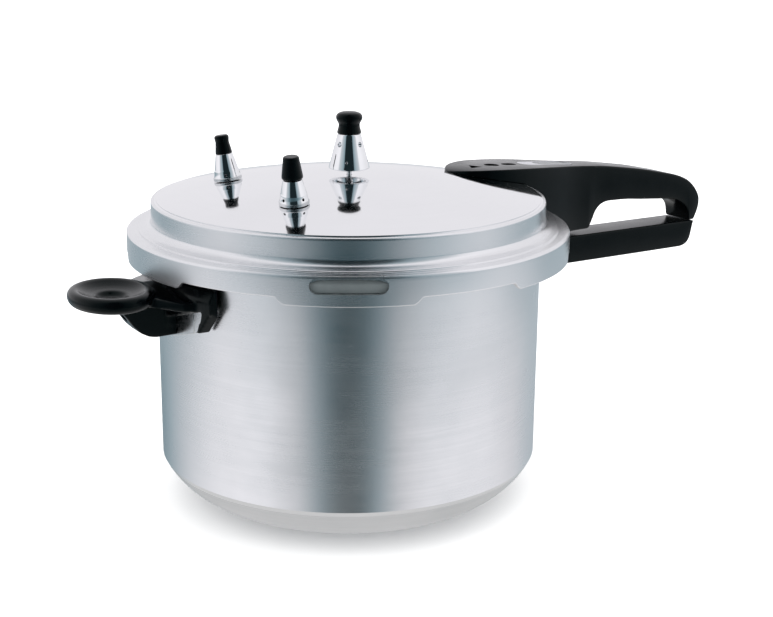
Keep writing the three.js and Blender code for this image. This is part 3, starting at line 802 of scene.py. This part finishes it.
dish_section = [(share, z) for share, z in GRIP_SECTION[::-1] if share <= DISH and z > GRIP_LOW]
dish_cut = turned_oval("cut", [*dish_section, (DISH, 160), (0, 160)], 72)
combine(neck, [dish_cut], "DIFFERENCE")
combine(helper, [neck, seat, gusset], "UNION")
remesh = helper.modifiers.new("remesh", "REMESH")
remesh.mode = "VOXEL"
remesh.voxel_size = 0.8 * MM
soften = helper.modifiers.new("soften", "SMOOTH")
soften.factor = 0.5
soften.iterations = 6
apply_modifiers(helper)
helper_rivets = list(rivet_spots.values())[:2]
helper_cuts = [pot_clearance(BRACKET_OUT + GAP)]
helper_cuts += [rod("cut", 4, -126.6, -120, spot) for spot in helper_rivets]
screw_line = Matrix.Translation((0, 0, HELPER_SCREW_Z)) @ Matrix.Rotation(TAU / 4, 4, "Y")
helper_cuts += [rod("cut", SCREW_HOLE, -160, -120, screw_line), rod("cut", 4.8, -160, -140.2, screw_line)]
combine(helper, helper_cuts, "DIFFERENCE")
finish_piece(helper, "pot", bakelite, "helper_handle", 40)


SEAM_ANGLE = 13
EDGE = 0.3


def helper_plate_profile(degrees):
    """Bracket section: thinner along its two pressed seams, and lower in the middle."""
    seam = 1 - smoothstep(0.12, 0.3, abs(abs(degrees - 180) - SEAM_ANGLE))
    outer = BRACKET_OUT - 0.7 * seam
    off_middle = 123 * abs(math.sin(math.radians(degrees)))
    low, high = 119 + 0.3 * max(0, off_middle - 3), 150
    return [(BRACKET_IN, low), (outer - EDGE, low), (outer, low + EDGE), (outer, high - EDGE),
            (outer - EDGE, high), (BRACKET_IN, high)]


helper_plate = sector("helper_handle_bracket_detail", helper_plate_profile, 162.6, 197.4, 348)
helper_plate_cuts = shank_holes(helper_rivets) + [rod("cut", 1.4, -150, -100, screw_line)]
combine(helper_plate, helper_plate_cuts, "DIFFERENCE")
finish_piece(helper_plate, "pot", steel, "helper_handle_bracket", 30)


# ---------------------------------------------------------------- vent pipe and regulator

TOP = on_dome(0, 0)
VENT = [(0.8, -9.5), (3.0, -9.5), (3.4, -9.1), (3.4, -4.9), (6.3, -4.9), (6.5, -4.7), (6.5, -2.8),
        (1.6, -2.8), (1.6, 13.3), (1.4, 13.7), (0.8, 13.7)]
vent = turned("vent_pipe_detail", VENT, 48, TOP, ring=True)
finish_piece(vent, "lid", steel, "vent_pipe", 34)


def holes_round(matrix, radius, height, reach, first):
    """Rods that cut four holes round a turned piece, standing on a place on the dome."""
    spots = [matrix @ radial(first + quarter, height) for quarter in (0, 90, 180, 270)]
    return [rod("cut", radius, -20, -reach, spot, 24) for spot in spots]


WEIGHT = [(0, 14), (8.5, 14, 0.3), (10.5, 4.6, 0.3), (11.3, 4, 0.3), (12.6, 4, 0.3), (13, 4.6, 0.3),
          (7.55, 25.5, 0.3), (7.2, 26, 0.2), (2.8, 26), (2.8, 20.6), (0, 20.6)]
weight = turned("regulator_weight_detail", rounded(WEIGHT), 96, TOP)
weight_cuts = holes_round(TOP, 1.6, 19.9, 5, FRONT + 48) + holes_round(TOP, 0.9, 9, 8, FRONT + 82)
combine(weight, weight_cuts, "DIFFERENCE")
finish_piece(weight, "regulator", chrome, "regulator_weight", 30)

KNOB = [(0, 21), (2.5, 21), (2.5, 26.3), (7.4, 26.3, 0.2), (7.7, 26.7, 0.3), (7.3, 28.4, 1),
        (6.65, 30.8, 1), (6.7, 32.4, 1), (7.9, 34.4, 0.8), (8.4, 36, 0.8), (8.2, 37.4, 0.8),
        (7.1, 38.8, 0.8), (4.8, 39.65, 0.8), (2.4, 39.95, 0.6), (0, 40)]
knob = turned("regulator_knob_detail", rounded(KNOB), 96, TOP)
finish_piece(knob, "regulator", bakelite, "regulator_knob", 34)


# ---------------------------------------------------------------- spring valves

def coil(name, radius, wire, low, high, turns, matrix, steps=28, sides=12):
    """Spring wire of round section, its coils somewhat closer together towards each end."""
    verts, faces = [], []
    total = turns * steps
    for s in range(total + 1):
        angle = TAU * s / steps
        share = smoothstep(0, 1, s / total) * 0.35 + s / total * 0.65
        z = lerp(low, high, share)
        c, n = math.cos(angle), math.sin(angle)
        for k in range(sides):
            u, v = wire * math.cos(TAU * k / sides), wire * math.sin(TAU * k / sides)
            verts.append(((radius + u) * c, (radius + u) * n, z + v))
    for s in range(total):
        a, b = s * sides, (s + 1) * sides
        faces += [(a + k, a + (k + 1) % sides, b + (k + 1) % sides, b + k) for k in range(sides)]
    faces += [tuple(range(sides)), tuple(range(total * sides, (total + 1) * sides))]
    return make_object(name, verts, faces, matrix)


VALVES = [
    {
        "name": "rear_valve", "side": 1, "shoulder": 17, "radius": 5.4, "turn": 0, "cap_height": 12,
        "keep": 0.827,
        "cap": [(5.3, 0, 0.2), (5.3, 0.8, 0.4), (4.25, 7.5, 1), (4.6, 9.3, 0.8), (4.6, 10.9, 0.7),
                (3.4, 11.7, 0.5)],
    },
    {
        "name": "front_valve", "side": -1, "shoulder": 15, "radius": 5.7, "turn": 45, "cap_height": 14,
        "keep": 0.804,
        "cap": [(5.4, 0, 0.2), (6.3, 0.8, 0.4), (6.3, 2, 0.6), (4.9, 11.5, 0.8), (4.8, 13.0, 0.6),
                (4, 13.7, 0.4)],
    },
]
NUT_R = 7.506
NUT_SPAN = (-6.8, -2.8)
NUT_CROWN = [(0, -6.8), (6.6, -6.8), (7.6, -6.3), (7.6, -3.3), (6.6, -2.8), (0, -2.8)]
for valve in VALVES:
    name, shoulder = valve["name"], valve["shoulder"]
    stand = on_dome(VALVE_X, valve["side"] * VALVE_Y)
    chamber = shoulder - 1.6
    body_outline = [
        (1.3, -9), (3.7, -9, 0.1), (4, -8.6), (4, 0.3), (8.8, 0.3, 0.1), (9, 0.5), (9, 2.0, 0.15),
        (8.6, 2.4, 0.3), (8.2, 3.9), (8.05, 4.9), (7.9, 6.4, 0.4), (7.6, 7.2, 0.4),
        (valve["radius"], shoulder, 0.2),
        (1.3, shoulder), (1.3, chamber), (2.9, chamber), (2.9, -5.2), (1.3, -5.2),
    ]
    shell = turned(name + "_body_detail", rounded(body_outline), 96, stand, ring=True)
    combine(shell, holes_round(stand, 0.9, 4.2, 2, FRONT + valve["turn"]), "DIFFERENCE")
    upright = stand.inverted()
    finish_piece(
        shell, "lid", [chrome, steel], name + "_body", 30,
        lambda c, n: 1 if 0.2 < (upright @ c).z < 2.45 and (upright @ c).xy.length > 7.8 else 0,
    )

    hexagon = [(NUT_R * math.cos(TAU * k / 6), NUT_R * math.sin(TAU * k / 6)) for k in range(6)]
    nut = prism(name + "_nut_detail", hexagon, *NUT_SPAN, "Z", stand)
    crown = turned("crown", NUT_CROWN, 48, stand)
    combine(nut, [crown], "INTERSECT")
    combine(nut, [rod("cut", 4.3, -8, -2, stand, 48)], "DIFFERENCE")
    finish_piece(nut, "lid", steel, name + "_nut", 28)

    stem_top = shoulder + valve["cap_height"] - 3
    stem_outline = [(0, -4.9), (2.1, -4.9), (2.3, -4.7), (2.3, -3.4), (2.1, -3.2), (1.05, -2.8), (1, -2.6),
                    (1, stem_top - 0.3), (0.7, stem_top), (0, stem_top)]
    stem = turned(name + "_stem_detail", stem_outline, 40, stand)
    finish_piece(stem, name + "_plunger", steel, name + "_stem", 34)

    spring = coil(name + "_spring_detail", 1.95, 0.3, -2.2, chamber - 0.9, 5, stand)
    finish_piece(spring, "lid", steel, name + "_spring", 40)
    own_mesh(spring)

    cap_low, cap_top = shoulder + GAP, shoulder + valve["cap_height"]
    cap_outline = [(1.3, cap_low)] + [(p[0], p[1] + cap_low, p[2]) for p in valve["cap"]]
    cap_outline += [(0, cap_top), (0, stem_top + GAP), (1.3, stem_top + GAP)]
    cap = turned(name + "_cap_detail", rounded(cap_outline), 72, stand, ring=True)
    finish_piece(cap, name + "_plunger", bakelite, name + "_cap", 34)


# ---------------------------------------------------------------- floor, studio and camera

def floor_look():
    look, shader, place = start_look("floor", Specular_IOR_Level=0.1)
    cloud = noise(look, place, 3.0, 3.0)
    colour = mix_colours(look, cloud, (0.9, 0.9, 0.9, 1), (0.93, 0.93, 0.93, 1))
    return connect(look, shader, colour, spread(look, cloud, 0.8, 0.9), cloud, 0.02)


FLOOR_HALF, FLOOR_Z = 3e4, -0.3
floor_corners = [(x * FLOOR_HALF, y * FLOOR_HALF, FLOOR_Z) for x, y in ((-1, -1), (1, -1), (1, 1), (-1, 1))]
floor = make_object("floor", floor_corners, [(0, 1, 2, 3)])
floor.data.materials.append(floor_look())
floor.visible_glossy = False


def shade(value):
    """Studio tone: bright tones are neutral and dark ones lean to blue-green."""
    lean = min(max((0.7 - value) / 0.6, 0.0), 1.0)
    return (value * (1 - 0.42 * lean), value * (0.99 + 0.01 * lean), value * (1.03 + 0.15 * lean), 1)


# Brightness of the studio by degrees to the right of its front, for three bands of elevation: well
# below the horizon, just below it, and from the horizon up. Steeper down there is the pale floor.
LOW_BAND = [(-180, 0.28), (-161, 0.25), (-138, 0.4), (-117, 0.62), (-90, 0.92), (-50, 1.0), (-30, 0.74),
            (-18, 0.33), (-9, 0.08), (0, 0.02), (9, 0.08), (18, 0.33), (30, 0.7), (50, 0.94), (90, 0.94),
            (117, 0.74), (138, 0.58), (161, 0.5), (180, 0.28)]
LEVEL_BAND = [(-180, 0.62), (-150, 0.48), (-125, 0.36), (-98, 0.5), (-75, 0.64), (-54, 0.44), (-35, 0.2),
              (-17, 0.1), (0, 0.09), (17, 0.11), (30, 0.16), (42, 0.28), (54, 0.38), (67, 0.5), (82, 0.58),
              (98, 0.5), (116, 0.4), (150, 0.48), (180, 0.62)]
HIGH_BAND = [(-180, 0.84), (-120, 0.86), (-80, 0.96), (-66, 0.95), (-58, 0.6), (-38, 0.42), (-31, 0.3),
             (-27, 0.02), (27, 0.02), (31, 0.3), (38, 0.42), (58, 0.6), (66, 0.95), (80, 0.96), (120, 0.86),
             (180, 0.84)]
FLOOR_TONE = 0.66
DIFFUSE_TONE = 1.9  # plain white light for everything but sharp reflections
world = bpy.data.worlds.new("studio")
world.use_nodes = True
world.cycles.sampling_method = "NONE"
bpy.context.scene.world = world
background = world.node_tree.nodes["Background"]
direction = node(world, "ShaderNodeTexCoord").outputs["Generated"]


def along(vector):
    made = node(world, "ShaderNodeVectorMath", {0: direction, 1: vector}, operation="DOT_PRODUCT")
    return made.outputs["Value"]


front = math.radians(FRONT)
toward = (math.cos(front), math.sin(front), 0)
right = (-math.sin(front), math.cos(front), 0)
turn = math_node(world, "ARCTAN2", along(right), along(toward))
turn = math_node(world, "MULTIPLY_ADD", turn, 1 / TAU, 0.5)


def band(stops):
    ramp = node(world, "ShaderNodeValToRGB", {"Fac": turn})
    elements = ramp.color_ramp.elements
    elements.remove(elements[1])
    elements[0].position = 0
    elements[0].color = shade(stops[0][1])
    for degrees, value in stops[1:]:
        elements.new(degrees / 360 + 0.5).color = shade(value)
    return ramp.outputs["Color"]


height = along((0, 0, 1))
level_share = spread(world, height, 0, 1, -0.3, -0.23)
high_share = spread(world, height, 0, 1, -0.12, -0.02)
reflected = mix_colours(world, level_share, band(LOW_BAND), band(LEVEL_BAND))
reflected = mix_colours(world, high_share, reflected, band(HIGH_BAND))
floor_share = spread(world, height, 1, 0, -0.62, -0.42)
reflected = mix_colours(world, floor_share, reflected, (FLOOR_TONE, FLOOR_TONE, FLOOR_TONE, 1))
glossy = node(world, "ShaderNodeLightPath").outputs["Is Glossy Ray"]
light = mix_colours(world, glossy, (DIFFUSE_TONE, DIFFUSE_TONE, DIFFUSE_TONE, 1), reflected)
world.node_tree.links.new(light, background.inputs["Color"])

CAMERA_AT = (-0.4427, -0.7667, 0.3638)
PITCH, YAW, ROLL = math.radians(15.49), math.radians(1.58), math.radians(0.51)
level_turn = Matrix.Rotation(-math.radians(30) - YAW, 4, "Z")
tilt = Matrix.Rotation(TAU / 4 - PITCH, 4, "X")
camera_data = bpy.data.cameras.new("camera")
camera_data.sensor_width = 36
camera_data.lens = 65.93
camera_data.clip_end = 200
camera = bpy.data.objects.new("camera", camera_data)
bpy.context.scene.collection.objects.link(camera)
camera.matrix_world = (
    Matrix.Translation(CAMERA_AT) @ level_turn @ tilt @ Matrix.Rotation(ROLL, 4, "Z")
)
bpy.context.scene.camera = camera
bpy.context.scene.view_settings.view_transform = "Standard"
